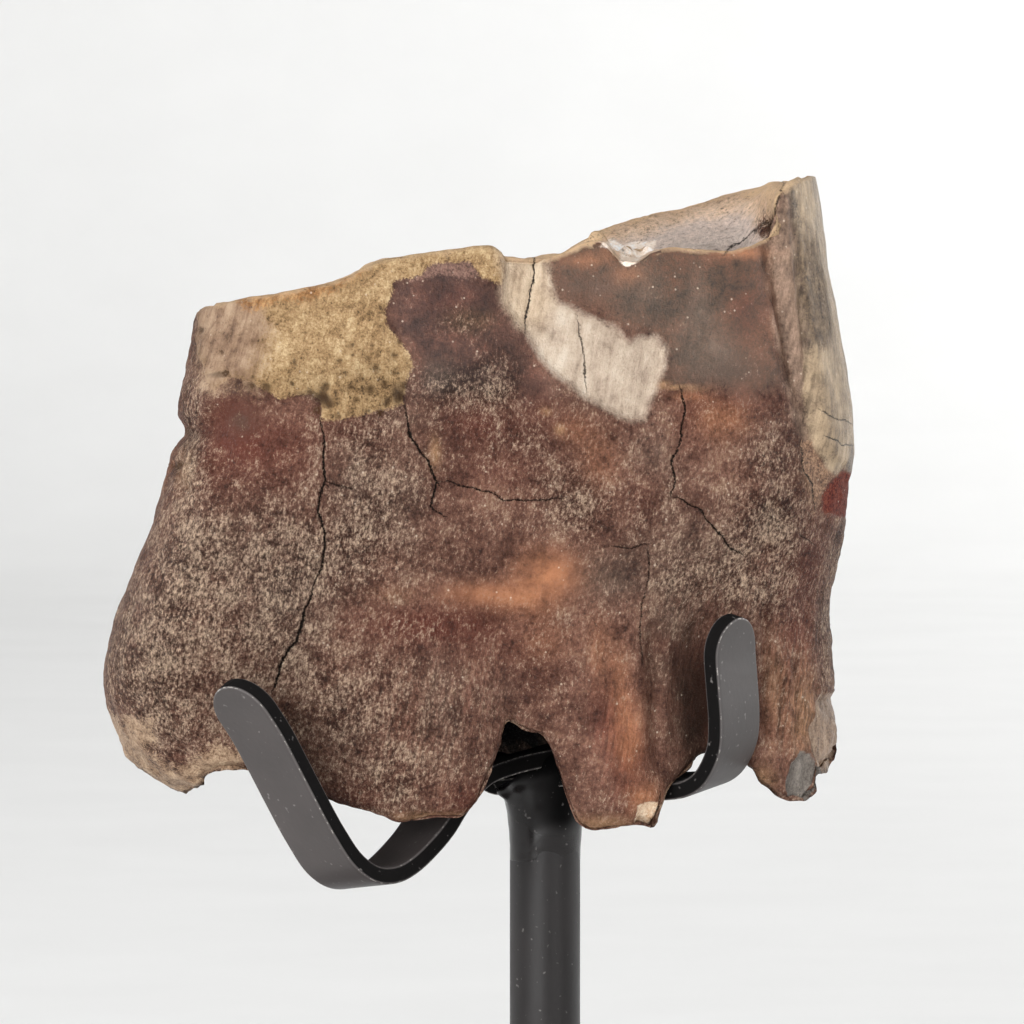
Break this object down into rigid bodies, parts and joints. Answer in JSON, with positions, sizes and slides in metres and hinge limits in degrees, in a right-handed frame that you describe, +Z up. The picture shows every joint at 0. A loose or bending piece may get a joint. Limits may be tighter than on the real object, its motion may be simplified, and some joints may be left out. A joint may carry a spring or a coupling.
{
  "type": "fossil woolly rhino tooth on a stand",
  "caption": "Fossil woolly rhinoceros cheek tooth with broken roots, held in a bent black steel strip cradle on a round post and a flat plate.",
  "frame": {"origin": "centre of the base plate's underside, under the post's axis", "axes": "+Z up along the post, +X to the right and -Y towards the viewer who faces the tooth's outer side"},
  "size_m": [0.09, 0.072, 0.1181],
  "materials": {
    "black_paint": "satin black paint over mild steel strip, rod and plate",
    "fossil": "mineral-stained dentine, cementum and enamel, satin to dull"
  },
  "bodies": {
    "root": {"base_plate": "black_paint", "post": "black_paint", "long_strip": "black_paint", "cross_strip": "black_paint", "tooth": "fossil"}
  },
  "joints": []
}
